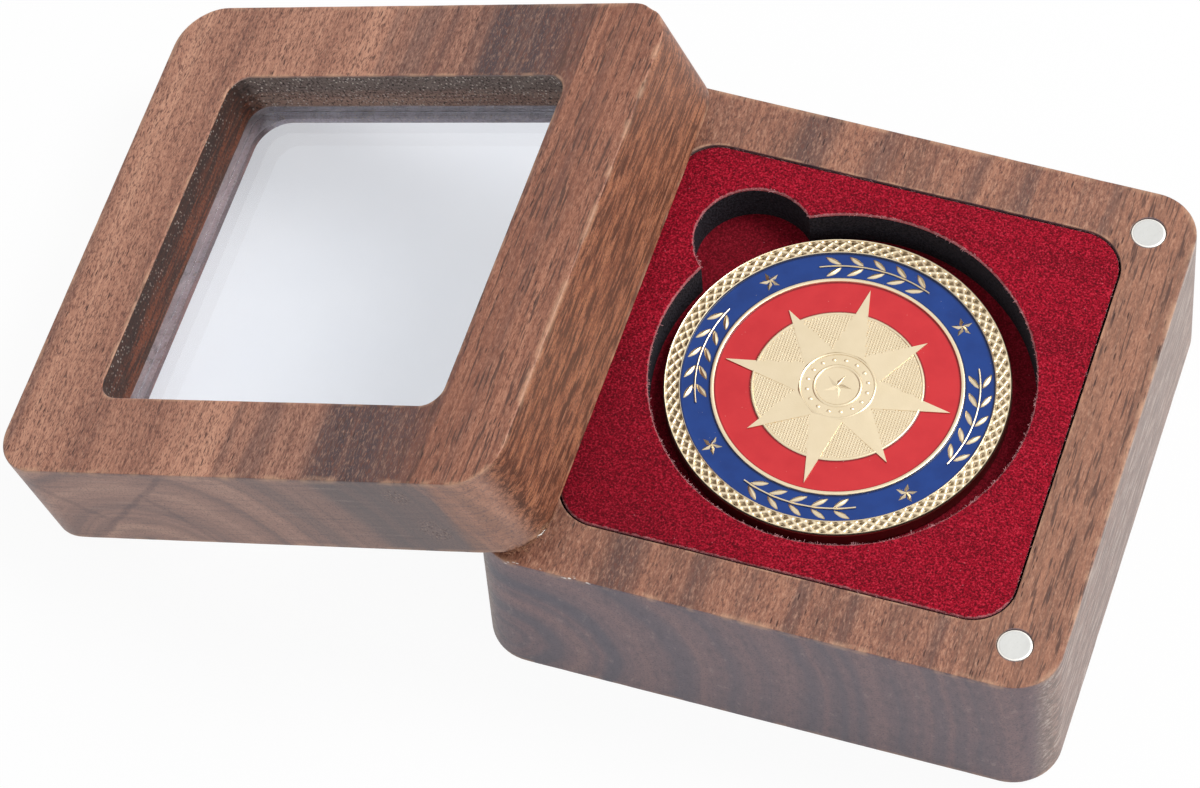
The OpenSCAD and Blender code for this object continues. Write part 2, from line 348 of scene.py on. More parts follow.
class Tree(Graph):
    """A Geometry Nodes tree with its sizes as named inputs, which makes one plain mesh in millimetres."""

    def __init__(self, name, **sizes):
        super().__init__(bpy.data.node_groups.new(name, "GeometryNodeTree"))
        self.values = {key.replace("_", " "): value for key, value in sizes.items()}
        for direction in ("INPUT", "OUTPUT"):
            self.tree.interface.new_socket("Geometry", in_out=direction, socket_type="NodeSocketGeometry")
        for key, value in self.values.items():
            kind = "NodeSocketInt" if isinstance(value, int) else "NodeSocketFloat"
            self.tree.interface.new_socket(key, in_out="INPUT", socket_type=kind)
        self.entry = self.tree.nodes.new("NodeGroupInput")

    def sizes(self, *names):
        return [Wire(self, self.entry.outputs[name]) for name in names]

    def position(self):
        return self.xyz(self.node("GeometryNodeInputPosition"))

    def index(self):
        return self.node("GeometryNodeInputIndex")

    def moved(self, geometry, position, chosen=True):
        """Puts the chosen points where the field position says."""
        return self.node("GeometryNodeSetPosition", {},
                         {"Geometry": geometry, "Selection": chosen, "Position": position})

    def circle(self, sides, radius):
        return self.node("GeometryNodeCurvePrimitiveCircle", {"mode": "RADIUS"},
                         {"Resolution": sides, "Radius": radius})

    def tube(self, curve, profile):
        return self.node("GeometryNodeCurveToMesh", {},
                         {"Curve": curve, "Profile Curve": profile, "Fill Caps": True})

    def grid(self, width, columns, rows):
        """Square grid of columns by rows of points."""
        return self.node("GeometryNodeMeshGrid", {},
                         {"Size X": width, "Size Y": width, "Vertices X": columns, "Vertices Y": rows})

    def copies(self, points, shape, turn, size=(1, 1, 1)):
        return self.node("GeometryNodeInstanceOnPoints", {},
                         {"Points": points, "Instance": shape, "Rotation": turn, "Scale": size})

    def chance(self, low, high, seed):
        """A random number for each point."""
        return self.node("FunctionNodeRandomValue", {"data_type": "FLOAT"},
                         {2: low, 3: high, "Seed": seed}, out=1)

    def joined(self, *parts):
        join = self.tree.nodes.new("GeometryNodeJoinGeometry")
        for part in parts:
            self.tree.links.new(part.socket, join.inputs[0])
        return Wire(self, join.outputs[0])

    def made(self, name, geometry, material, place, source=None):
        """Runs the tree on source, or on nothing, and returns its mesh as a piece."""
        whole = self.node("GeometryNodeRealizeInstances", {}, {"Geometry": geometry})
        painted = self.node("GeometryNodeSetMaterial", {}, {"Geometry": whole, "Material": material})
        self.tree.links.new(painted.socket, self.tree.nodes.new("NodeGroupOutput").inputs[0])
        holder = source or linked(name, bpy.data.meshes.new(name))
        modifier = holder.modifiers.new(name, "NODES")
        modifier.node_group = self.tree
        for item in self.tree.interface.items_tree:
            if item.in_out == "INPUT" and item.name in self.values:
                modifier[item.identifier] = self.values[item.name]
        mesh = outcome(holder)
        bpy.data.objects.remove(holder)
        return new_piece(name, mesh, [], place)


class Finish(Graph):
    """A material and its tree, around one Principled shader."""

    def __init__(self, name):
        self.material = bpy.data.materials.new(name)
        self.material.use_nodes = True
        super().__init__(self.material.node_tree)
        self.tree.nodes.clear()

    def local(self, place=HERE):
        """Object coordinates in millimetres, in the frame of the piece that place stands for."""
        turn = place.to_euler("XYZ")
        at = place.to_translation()
        return self.node("ShaderNodeMapping", {"vector_type": "TEXTURE"},
                         {"Vector": self.node("ShaderNodeTexCoord", out="Object"),
                          "Location": at * MM, "Rotation": turn, "Scale": (MM, MM, MM)})

    def bump(self, height, distance, strength=1.0):
        return self.node("ShaderNodeBump", {},
                         {"Strength": strength, "Distance": distance * MM, "Height": height})

    def shader(self, **values):
        """The Principled shader, whose sockets are named with underscores for spaces."""
        return self.node("ShaderNodeBsdfPrincipled", {}, {k.replace("_", " "): v for k, v in values.items()})

    def done(self, shader):
        output = self.tree.nodes.new("ShaderNodeOutputMaterial")
        self.tree.links.new(shader.socket, output.inputs["Surface"])
        return self.material


def span(a, b):
    """Straight distance, from the distances along two axes."""
    return (a * a + b * b) ** 0.5


def paint(red, green, blue):
    """A colour as the screen shows it, 0 to 255, as the shader wants it."""
    def linear(value):
        value /= 255
        return value / 12.92 if value <= 0.04045 else ((value + 0.055) / 1.055) ** 2.4
    return (linear(red), linear(green), linear(blue), 1.0)


# Materials

def walnut(name, place, pith, palette, heart, bands, streaks, warm, ends, sides, marks=(), pits=(),
           run_out=0.0, curl=0.0, torn=(0, 0)):
    """Oiled walnut cut round a pith along Y: growth rings, heart bands, fibres, flecks and open pores."""
    g = Finish(name)
    p = g.local(place)
    x, y, z = g.xyz(p)
    normal = g.xyz(g.node("ShaderNodeNewGeometry", out="Normal"))
    end = g.rise(normal[1].absolute(), 0.35, 0.8)
    side = g.rise(normal[0].absolute(), 0.55, 0.85)
    drift = g.grain(p, (0.05, 0.013, 0.05), 2) - 0.5
    wander = g.grain(p, (0.3, 0.035, 0.3), 2) - 0.5
    across, height = x - pith[0] + y * run_out, z - pith[1]
    radius = span(across, height) + drift * 4 + wander * 0.9
    rings = g.grain(g.vector(radius, y, 0.0), (0.22, 0.004, 1.0), 2, 0.6)
    lines = g.grain(g.vector(radius, y, 7.0), (1.3, 0.012, 1.0), 3, 0.65)
    straight = g.grain(p, (2.6, 0.07, 2.6), 3, 0.6)
    grit = g.grain(p, (6.0, 2.4, 6.0), 2, 0.6)
    stops = [(i / (len(palette) - 1), paint(*c)) for i, c in enumerate(palette)]
    tone = 0.5 + (rings - 0.5) * 1.5 + (lines - 0.5) * 0.6 + drift * 0.5 + wander * 0.25
    tone = tone + (rings - 0.5) * end * 1.1
    streaky = g.rise(x, streaks[0], streaks[1])
    plain = 1 - end * 0.75
    fibres = (straight - 0.5) * (0.6 + side * 0.7 + streaky * 0.8)
    tone = tone + (fibres + (grit - 0.5) * 0.7 + streaky * 0.16) * plain
    if curl:
        ripple = (y * 0.9 + across * 0.55 + drift * 14).wave()
        tone = tone + ripple * g.rise(height, 14.0, 18.0) * g.rise(y, -29.0, -35.0) * curl
    colour = g.ramp(tone, stops)
    # Dark heart bands, whose edges break up into streaks along the grain
    streak = (g.grain(g.vector(radius, y, 3.0), (0.9, 0.02, 1.0), 3, 0.6) - 0.5) * 2
    for inner, outer, soft_in, soft_out, amount in bands:
        band = g.rise(radius + streak * soft_in * 0.8, inner - soft_in, inner + soft_in)
        band = band * g.rise(radius + streak * soft_out * 0.8, outer + soft_out, outer - soft_out)
        colour = g.mix(band * (amount + (streak + straight - 0.5) * amount * 0.5), colour, heart)
    # Dark flecks that cross a little, long streaks, and a little light between them
    for lean, factors, low, shade, amount in ((0.1, (1.7, 0.42, 1.7), 0.57, (108, 64, 48), 0.6),
                                              (0.2, (3.1, 0.95, 3.1), 0.54, (104, 60, 48), 0.8),
                                              (-0.13, (4.6, 1.3, 4.6), 0.54, (86, 52, 42), 0.8)):
        fleck = g.grain(g.vector(x + y * lean, y, z), factors, 2, 0.55)
        colour = g.layers(colour, (fleck, low, low + 0.14, plain * amount, shade),
                          (fleck, 0.44, 0.3, plain * amount * 0.28, (222, 172, 144)))
    long_streak = g.rise(g.grain(p, (2.5, 0.17, 2.5), 2, 0.6), 0.54, 0.64)
    long_streak = long_streak * (0.25 + streaky * 0.6 + side * 0.35)
    colour = g.mix(streaky * 0.3 * plain, colour, warm)
    colour = g.mix(long_streak * plain, colour, (74, 44, 34))
    # Open pores: short dark dashes along the grain, dots on the end grain
    many = g.rise(g.grain(p, (0.11, 0.03, 0.11), 2), 0.4, 0.6)
    pore = g.cells(p, (1.55, 0.27, 1.55))
    open_pore = g.rise(pore, 0.23, 0.11) * (0.2 + many * 0.8) * (1 - end * 0.5)
    colour = g.mix(open_pore * 0.85, colour, (58, 36, 32))
    # The end grain and the sides look hazier: a veil of colour, on the end grain painted shade and
    # reflection, on the base's sides a painted sheen; the scuffs, dots, pits and marks on the end grain are
    # wear
    dust_and_painted_light, thick, along, scuff, clear_from = ends
    brushed = g.grain(p, along, 3, 0.6)
    clear = g.rise(x, clear_from, clear_from + 2.5)
    end_colour_with_painted_light = g.mix(thick * (1 - clear * 0.6), colour, dust_and_painted_light)
    end_colour_with_painted_light = g.mix(clear * 0.3, end_colour_with_painted_light, (206, 156, 130))
    dots = g.grain(p, 3.2, 2, 0.6)
    front = g.rise(y, 10.0, -10.0)
    end_colour_with_painted_light = g.layers(end_colour_with_painted_light, (brushed, 0.47, 0.72, 0.38, scuff), (brushed, 0.43, 0.25, 0.2, (196, 176, 164)),
                    (dots, 0.52, 0.66, 0.5, scuff))
    for x0, z0, reach in pits:
        near = span(x - x0, z - z0) / reach + (wander + drift) * 0.8 + (1 - front) * 2
        near = g.rise(near, 1.1, 0.5)
        crumbs = g.rise(g.cells(p, 1.9), 0.42, 0.2)
        end_colour_with_painted_light = g.mix(near * crumbs * 0.7, end_colour_with_painted_light, (84, 60, 52))
        end_colour_with_painted_light = g.mix(near * g.rise(dots, 0.46, 0.36) * 0.4, end_colour_with_painted_light, (188, 158, 142))
    for x0, z0, x1, z1, width, amount in marks:
        length = math.hypot(x1 - x0, z1 - z0)
        ux, uz = (x1 - x0) / length, (z1 - z0) / length
        off = ((x - x0) * uz - (z - z0) * ux + wander * 1.5).absolute()
        run = (x - x0) * ux + (z - z0) * uz
        mark = g.rise(off, width, width * 0.2) * g.rise(run, -1.0, 1.5)
        mark = mark * g.rise(run, length + 1.0, length - 2.0)
        end_colour_with_painted_light = g.mix(mark * front * amount, end_colour_with_painted_light, (78, 66, 74))
    colour = g.mix(end, colour, end_colour_with_painted_light)
    # Sides: the veil, fibres, and a painted highlight that grows paler towards the back
    dust_and_painted_light, thick, dark, pale = sides
    rough = g.grain(p, (1.3, 0.2, 1.3), 3, 0.65)
    flank = g.layers(g.mix(thick, colour, dust_and_painted_light), (rough, 0.5, 0.6, 0.85, dark),
                     (rough, 0.48, 0.36, 0.65, pale), (y, -5.0, 30.0, 0.14, pale),
                     (grit, 0.5, 0.66, 0.7, dark))
    flank = g.mix(long_streak * 0.6, flank, dark)
    colour = g.mix(side, colour, flank)
    # Pale rounded edges: bare wood where they are worn, and a painted highlight where the eased edges catch
    # the light
    worn = g.node("ShaderNodeAttribute", {"attribute_name": "worn"}, out="Fac")
    wear_and_edge_highlight = worn * g.rise(g.grain(p, 0.3, 4, 0.6), 0.42, 0.62)
    colour = g.mix(wear_and_edge_highlight * 0.42, colour, (214, 170, 138))
    if torn[1] > torn[0]:
        # Pale crumbs along a stretch of the upper front edge
        face = -CASE_SIDE / 2
        crumb = g.rise(g.cells(p, (0.9, 2.4, 2.4)), 0.3, 0.18) * g.rise(y, face + 0.6, face + 0.2)
        crumb = crumb * g.rise(z, BASE_H - 0.7, BASE_H - 0.4)
        crumb = crumb * g.rise(x, torn[0] - 1, torn[0] + 1) * g.rise(x, torn[1] + 2, torn[1] - 2)
        colour = g.mix(crumb, colour, (238, 232, 226))
    relief = grit * 0.35 - open_pore * 0.9 + g.grain(p, (3.3, 0.8, 3.3), 2) * 0.5 * plain
    shader = g.shader(Base_Color=colour, Roughness=0.5 + open_pore * 0.3 - end * 0.04,
                      Normal=g.bump(relief, 0.08, 0.8), Specular_IOR_Level=0.45)
    return g.done(shader)


def window_wall(name, place):
    """The lid's window wall: machined end to end, scorched at the top, dusty, and with pale painted light
    under the pane.
    """
    g = Finish(name)
    p = g.local(place)
    x, y, z = g.xyz(p)
    flank = g.rise(g.xyz(g.node("ShaderNodeNewGeometry", out="Normal"))[0].absolute(), 0.4, 0.8)
    # The ledge's left strip, seen through the pane, is nearly as brown as the wall above it
    flank = flank.most(g.rise(x, -26.5, -27.8) * 0.75)
    streak = g.grain(p, (0.12, 0.12, 1.6), 3)
    fine = g.grain(p, 2.4, 3, 0.6)
    sheets = g.grain(p, (0.03, 0.03, 1.3), 3, 0.6)
    colour = g.mix(g.rise(z + streak * 3, 13.0, 15.8), (168, 136, 122), (130, 114, 108))
    colour = g.mix(g.rise(sheets, 0.45, 0.62) * g.rise(z, 15.0, 13.5) * 0.6, colour, (118, 92, 86))
    along = g.grain(p, (1.1, 0.1, 1.5), 3, 0.6)
    scorch = g.rise(z + streak * 4, 14.7, 17.0)
    warm = g.mix(g.rise(along, 0.42, 0.58), (105, 51, 27), (54, 25, 13))
    colour = g.mix(flank * 0.97, colour, g.mix(scorch * 0.85, warm, (42, 19, 9)))
    many = 0.3 + g.rise(z, 9.5, 10.5) * (0.6 - flank * 0.2)
    # Painted light below the pane's top: a lilac grey band and a paler one lower down, for the lit ledge and
    # the pane's edge seen through the pane; then dark specks, more of them above the pane
    colour = g.layers(colour, (z + streak, 10.6, 9.9, 1 - flank * 0.85, (168, 156, 162)),
                      (z + streak, 9.2, 7.0, 0.8 - flank * 0.72, (222, 216, 224)),
                      (fine, 0.48, 0.64, many, (26, 21, 19)))
    where = g.rise(g.grain(p, (0.12, 0.12, 0.3), 2), 0.42, 0.6)
    dust = g.rise(g.cells(p, 1.6), 0.32, 0.16) * (0.45 + where * 0.55)
    dust = dust * (1 - flank * (0.93 - scorch * 0.25))
    colour = g.mix(dust, colour, (232, 220, 210))
    dust_and_painted_light = g.rise(g.grain(p, (0.3, 0.3, 0.5), 4), 0.46, 0.7) * where
    colour = g.mix(dust_and_painted_light * 0.35 * (1 - flank * 0.9), colour, (160, 148, 140))
    return g.done(g.shader(Base_Color=colour, Roughness=0.72 + fine * 0.15, Normal=g.bump(fine + dust, 0.1)))


def velvet(name, shade, dark, pale, cut_edge=False):
    """Short-pile velvet: mottled nap, a soft sheen, a little lint and a pale line where it is cut."""
    g = Finish(name)
    p = g.local()
    x, y, z = g.xyz(p)
    brushed = g.grain(p, (0.05, 0.16, 0.1), 3)
    mottle = g.grain(p, 1.5, 2, 0.6)
    pile = g.grain(p, 3.3, 2, 0.7)
    lint = g.cells(p, 0.5)
    # Mottle, brushed streaks and pile, then darker towards the front left, and lint
    colour = g.layers(shade, (mottle, 0.44, 0.64, 0.35, dark), (brushed, 0.42, 0.68, 0.3, dark),
                      (pile, 0.5, 0.62, 0.85, dark), (pile, 0.47, 0.34, 0.65, pale),
                      (x + y, -25.0, -52.0, 0.28, dark), (lint, 0.06, 0.03, 0.5, (214, 120, 130)))
    if cut_edge:
        nx, ny = NOTCH_REACH * math.cos(NOTCH_ANGLE), NOTCH_REACH * math.sin(NOTCH_ANGLE)
        pocket, notch = span(x, y) - POCKET_R, span(x - nx, y - ny) - NOTCH_R
        ragged = pocket.least(notch) + (g.grain(p, 1.6, 3, 0.6) - 0.5) * 0.5
        straight = INSERT_SIDE / 2 - INSERT_R
        rim = INSERT_R - span((x.absolute() - straight).most(0), (y.absolute() - straight).most(0))
        rim = rim + (g.grain(p, 1.1, 3, 0.6) - 0.5) * 0.6 + g.rise(y, -30.0, -20.0)
        colour = g.mix(g.rise(ragged.least(rim), 0.2, 0.04) * 0.6, colour, (204, 132, 136))
    shader = g.shader(Base_Color=colour, Roughness=0.92, Normal=g.bump(pile * 0.8 + mottle * 0.6, 0.25),
                      Specular_IOR_Level=0.15, Sheen_Weight=0.08, Sheen_Roughness=0.45,
                      Sheen_Tint=paint(235, 60, 90))
    return g.done(shader)


def foam(name):
    """Black foam with dark cells and a few paler, rubbed patches."""
    g = Finish(name)
    p = g.local()
    cell = g.cells(p, 3.0)
    rough = g.grain(p, 1.2, 3)
    colour = g.layers((46, 43, 50), (cell, 0.3, 0.75, 1, (24, 22, 28)), (rough, 0.55, 0.8, 0.4, (52, 50, 54)))
    return g.done(g.shader(Base_Color=colour, Roughness=0.85, Normal=g.bump(cell + rough * 0.5, 0.2),
                           Specular_IOR_Level=0.2))


def nickel(name, place):
    """Nickel plate: soft clouds, fine pitting and a painted highlight on the bevel round each disc."""
    g = Finish(name)
    p = g.local(place)
    x, y, z = g.xyz(p)
    radius = span(x.absolute() - MAGNET_AT, y.absolute() - MAGNET_AT)
    cloud = g.grain(p, 0.5, 3)
    pit = g.cells(p, 2.2)
    colour = g.mix(cloud, (208, 208, 205), (188, 188, 185))
    colour = g.mix(g.rise(pit, 0.12, 0.04) * 0.5, colour, (120, 118, 116))
    # Painted highlight: a pale, less metallic ring where the bevel catches the light
    bevel_highlight = g.rise(radius, MAGNET_R - 0.32, MAGNET_R - 0.14)
    colour = g.mix(bevel_highlight * 0.9, colour, (250, 246, 238))
    return g.done(g.shader(Base_Color=colour, Metallic=1 - bevel_highlight * 0.6, Roughness=0.36 + cloud * 0.16,
                           Normal=g.bump(cloud, 0.03)))


def acrylic(name, place):
    """Clear sheet with a faint cool tint and a slight smear."""
    g = Finish(name)
    p = g.local(place)
    smear = g.grain(p, (0.05, 0.08, 0.1), 3)
    colour = g.mix(smear, (243, 246, 251), (237, 241, 248))
    return g.done(g.shader(Base_Color=colour, Roughness=0.02 + g.rise(smear, 0.5, 0.8) * 0.05,
                           Transmission_Weight=1.0, IOR=1.49))


def gold(name, place):
    """Pale struck gold plate, dark in its low places and toned brown in the pits of the rim."""
    g = Finish(name)
    p = g.local(place)
    x, y, z = g.xyz(p)
    radius = span(x, y)
    cloud = g.grain(p, 0.35, 3)
    grit = g.grain(p, 5.0, 2)
    colour = g.mix(cloud, (236, 219, 188), (224, 206, 172))
    colour = g.mix(g.rise(z, 2.62, 2.4) * 0.8, colour, (86, 74, 70))
    rim = g.rise(radius, RING_OUT, RING_OUT + 0.2) * g.rise(radius, COIN_R - 0.15, COIN_R - 0.25)
    pit = rim * g.rise(z, 2.8, 2.63)
    colour = g.mix(pit * 0.75, colour, (116, 94, 64))
    return g.done(g.shader(Base_Color=colour, Metallic=1.0, Roughness=0.26 + grit * 0.12 + pit * 0.2,
                           Normal=g.bump(grit * 0.6 + cloud, 0.02)))


def enamel(name, place, body, deep, edges):
    """Glossy hard enamel, with painted shade along the gold lines."""
    g = Finish(name)
    p = g.local(place)
    x, y, z = g.xyz(p)
    radius = span(x, y)
    cloud = g.grain(p, 0.3, 3)
    colour = g.mix(g.rise(cloud, 0.3, 0.75) * 0.5, body, deep)
    # Painted shade: the enamel is darker next to each raised gold line
    for edge in edges:
        near = g.rise((radius - edge).absolute(), 0.35, 0.05)
        colour = g.mix(near * 0.7, colour, g.mix(1.0, colour, (120, 110, 130), "MULTIPLY"))
    speck = g.rise(g.cells(p, 0.8), 0.06, 0.02)
    colour = g.mix(speck * 0.35, colour, (225, 215, 205))
    return g.done(g.shader(Base_Color=colour, Roughness=0.18 + cloud * 0.08, Normal=g.bump(cloud, 0.03),
                           Specular_IOR_Level=0.22, Coat_Weight=0.1, Coat_Roughness=0.08))


def fray(name, shade, pale):
    """Loose fibres, mottled between two shades."""
    g = Finish(name)
    p = g.local()
    speck = g.grain(p, 2.5, 2)
    return g.done(g.shader(Base_Color=g.mix(speck, shade, pale), Roughness=0.9, Specular_IOR_Level=0.1))


COIN_PLACE = Matrix.Translation(COIN_AT)
LID_PALETTE = [(212, 160, 132), (200, 146, 120), (184, 130, 106), (164, 112, 90), (136, 90, 74),
               (108, 72, 62)]
BASE_PALETTE = [(172, 120, 94), (160, 108, 84), (146, 97, 76), (130, 86, 68), (108, 72, 58), (84, 58, 50)]
# Heart bands: inner and outer radius from the pith, softness of both edges, amount
LID_BANDS = [(31.1, 32.0, 0.35, 0.35, 0.4), (33.8, 36.4, 0.6, 1.0, 0.5), (42.6, 58.5, 1.6, 0.35, 0.92),
             (44.6, 46.0, 0.5, 0.4, 0.6), (62.8, 64.4, 0.6, 0.7, 0.5), (32.2, 43.0, 0.6, 0.6, 0.22)]
BASE_BANDS = [(14.8, 17.2, 0.9, 0.9, 0.75), (26.0, 29.0, 1.0, 1.2, 0.65), (33.6, 35.8, 0.8, 1.0, 0.55),
              (39.6, 40.8, 0.6, 0.6, 0.3), (46.0, 48.0, 0.8, 0.8, 0.5), (52.8, 54.8, 0.8, 0.8, 0.5),
              (64.2, 66.4, 0.8, 0.8, 0.5)]
# End grain: colour of its veil of painted shade and reflection and its amount, grain of the scuffs and their
# colour, and where the veil clears
LID_ENDS = ((150, 138, 136), 0.45, (0.1, 0.8, 1.7), (96, 84, 88), 31.0)
BASE_ENDS = ((112, 111, 126), 0.58, (0.8, 0.8, 0.5), (74, 69, 80), 99.0)
# Sides: colour of their veil (a painted sheen on the base, a warm brown on the lid) and its amount, dark and
# pale fibres
LID_SIDES = ((120, 68, 38), 0.5, (78, 44, 30), (178, 118, 84))
BASE_SIDES = ((167, 154, 149), 0.5, (122, 105, 99), (198, 183, 173))
# Marks on the lid's front face from one point to another, with width and amount, and pits with their reach
LID_MARKS = [(-12.5, 16.5, -31.0, 1.5, 0.8, 0.38), (-38.0, 14.5, -27.0, 4.5, 0.8, 0.25),
             (-19, 12, -11, 1, 0.7, 0.25)]
LID_PITS = [(25.8, 13.6, 2.4), (28.3, 5.4, 3.4)]
lid_wood = walnut("walnut lid", LID_PLACE, (-23, -8), LID_PALETTE, (66, 50, 54), LID_BANDS, (22, 31),
                  (156, 90, 58), LID_ENDS, LID_SIDES, LID_MARKS, LID_PITS)
base_wood = walnut("walnut base", HERE, (-35.5, 6.5), BASE_PALETTE, (56, 44, 48), BASE_BANDS, (25, 34),
                   (170, 118, 90), BASE_ENDS, BASE_SIDES, run_out=-0.06, curl=0.04, torn=(-38, -24))
wall_wood = window_wall("scorched walnut wall", LID_PLACE)
red_velvet = velvet("red velvet", (154, 9, 35), (76, 3, 15), (212, 50, 72), cut_edge=True)
# The pocket's floor is a darker copy of the top velvet: painted shade for the pocket
shaded_pocket_velvet = velvet("pocket velvet", (128, 12, 30), (84, 4, 16), (158, 34, 52))
black_foam = foam("black foam")
nickel_plate = {"base": nickel("nickel base discs", HERE), "lid": nickel("nickel lid discs", LID_PLACE)}
clear_acrylic = acrylic("clear acrylic", LID_PLACE)
gold_plate = gold("gold plate", COIN_PLACE)
blue_enamel = enamel("blue enamel", COIN_PLACE, (26, 62, 134), (16, 44, 106),
                     (RING_OUT, RING_IN, ROUNDEL_R, ROUNDEL_IN))
red_enamel = enamel("red enamel", COIN_PLACE, (204, 50, 55), (188, 38, 46), (FIELD_R, MEDALLION_R, DOT_R))
torn_wood = fray("torn walnut fibres", (126, 84, 64), (176, 132, 106))
frayed_edge = fray("frayed velvet edge", (196, 106, 116), (226, 190, 190))


# Camera, floor and light

PHOTO_W = 1200
SENSOR = 36.0
FOCAL_PX, AZIMUTH, ELEVATION, ROLL = 6347.9, 22.288, 58.101, -5.421
DISTANCE, TARGET = 937.89, (-38.876, 3.545, 0.0)
CLIP_NEAR, CLIP_FAR = 0.01, 20
# The floor reaches this far in metres, and lies a little lower than the part, so that no faces coincide
FLOOR_REACH, FLOOR_DROP = 4.0, 0.00003
FLOOR_COLOUR, WHITE = (0.82, 0.82, 0.83, 1), (1, 1, 1, 1)
# How white the floor glows when it is seen, and how much less behind the pane
FLOOR_GLOW, PANE_DIMS = 0.94, 0.32
# The sky's light on the part, and what is added where it is seen
SKY_LIGHT, SKY_SEEN = 0.62, 0.38
SOFT_BOX_AT, SOFT_BOX_SIZE, SOFT_BOX_POWER = (0.5, 0.32, 0.8), 0.5, 7.0


def make_camera():
    """The photograph's camera: where it stands, its lens and its tilt were fitted to the picture."""
    az, el, roll = math.radians(AZIMUTH), math.radians(ELEVATION), math.radians(ROLL)
    back = Vector((math.sin(az) * math.cos(el), -math.cos(az) * math.cos(el), math.sin(el)))
    right = (-back).cross(Vector((0, 0, 1))).normalized()
    up = right.cross(-back)
    right, up = right * math.cos(roll) + up * math.sin(roll), up * math.cos(roll) - right * math.sin(roll)
    data = bpy.data.cameras.new("camera")
    data.sensor_width, data.sensor_fit = SENSOR, "HORIZONTAL"
    data.lens = FOCAL_PX / PHOTO_W * SENSOR
    data.clip_start, data.clip_end = CLIP_NEAR, CLIP_FAR
    camera = linked("camera", data)
    turn = Matrix((right, up, back)).transposed().to_4x4()
    camera.matrix_world = Matrix.Translation((Vector(TARGET) + back * DISTANCE) * MM) @ turn
    bpy.context.scene.camera = camera


def light_path(g, kind):
    """1 for light rays of one kind."""
    return Wire(g, g.node("ShaderNodeLightPath").socket.node.outputs[f"Is {kind} Ray"])


def seen_directly(g):
    """1 for rays from the camera, and for those that metal and glass send on."""
    return light_path(g, "Camera").most(light_path(g, "Glossy")).most(light_path(g, "Transmission"))


def make_floor():
    """White table that keeps the part's shadow and shows as white where it is seen."""
    g = Finish("pale floor")
    plain = g.node("ShaderNodeBsdfDiffuse", {}, {"Color": FLOOR_COLOUR})
    white = g.node("ShaderNodeEmission", {}, {"Color": WHITE, "Strength": 1.0})
    glow = seen_directly(g) * FLOOR_GLOW - light_path(g, "Transmission") * PANE_DIMS
    g.done(g.node("ShaderNodeMixShader", {}, {0: glow, 1: plain, 2: white}))
    mesh = bpy.data.meshes.new("floor")
    corners = [(x * FLOOR_REACH, y * FLOOR_REACH, -FLOOR_DROP) for x, y in CORNERS.values()]
    mesh.from_pydata(corners, [], [(0, 1, 3, 2)])
    mesh.materials.append(g.material)
    linked("floor", mesh)


def make_light():
    """Even light from a white room, and one large soft lamp."""
    world = bpy.data.worlds.new("room")
    bpy.context.scene.world = world
    world.use_nodes = True
    g = Graph(world.node_tree)
    g.tree.nodes.clear()
    level = SKY_LIGHT + seen_directly(g) * SKY_SEEN
    sky = g.node("ShaderNodeBackground", {}, {"Color": WHITE, "Strength": level})
    output = g.tree.nodes.new("ShaderNodeOutputWorld")
    g.tree.links.new(sky.socket, output.inputs["Surface"])
    data = bpy.data.lights.new("soft box", "AREA")
    data.shape, data.size, data.energy = "DISK", SOFT_BOX_SIZE, SOFT_BOX_POWER
    aim = Vector((0, 0, 0.01)) - Vector(SOFT_BOX_AT)
    turn = aim.to_track_quat("-Z", "Y").to_matrix().to_4x4()
    linked("soft box", data).matrix_world = Matrix.Translation(SOFT_BOX_AT) @ turn
    bpy.context.scene.view_settings.view_transform = "Standard"


make_camera()
make_floor()
make_light()


# Base

def make_base():
    """Solid block with its recess and the four magnet holes."""
    profile = worn_edge(CASE_SIDE, CORNER_R, 0, EASE, False, True, 4)
    profile += worn_edge(CASE_SIDE, CORNER_R, BASE_H, EASE, True, True, 4)[::-1]
    profile += worn_edge(RECESS_SIDE, RECESS_R, BASE_H, RECESS_EASE, True, False, 2, RECESS_WORN)
    profile += [(RECESS_SIDE, RECESS_R, FLOOR_Z - VELVET_H, 0.0)]
    block = wood_block("walnut_base", profile, False, (0, -1), magnet_cutters(BASE_H), [base_wood])
    stands_for(smooth(block), "base", "base_block")


def outline_piece(name, loops, low, high, ease, material, place=HERE):
    """Flat piece cut to outlines, the first outside and the rest holes, with eased edges."""
    curve = bpy.data.curves.new(name, "CURVE")
    curve.dimensions, curve.fill_mode = "2D", "BOTH"
    curve.extrude = (high - low) / 2 - ease
    curve.bevel_depth, curve.bevel_resolution, curve.offset = ease, 2, -ease
    for loop in loops:
        spline = curve.splines.new("POLY")
        spline.points.add(len(loop) - 1)
        for point, (x, y) in zip(spline.points, loop):
            point.co = (x, y, 0, 1)
        spline.use_cyclic_u = True
    holder = linked(name, curve)
    mesh = outcome(holder)
    bpy.data.objects.remove(holder)
    tidy(mesh)
    mesh.transform(Matrix.Translation((0, 0, (low + high) / 2)))
    return new_piece(name, mesh, [material], place)


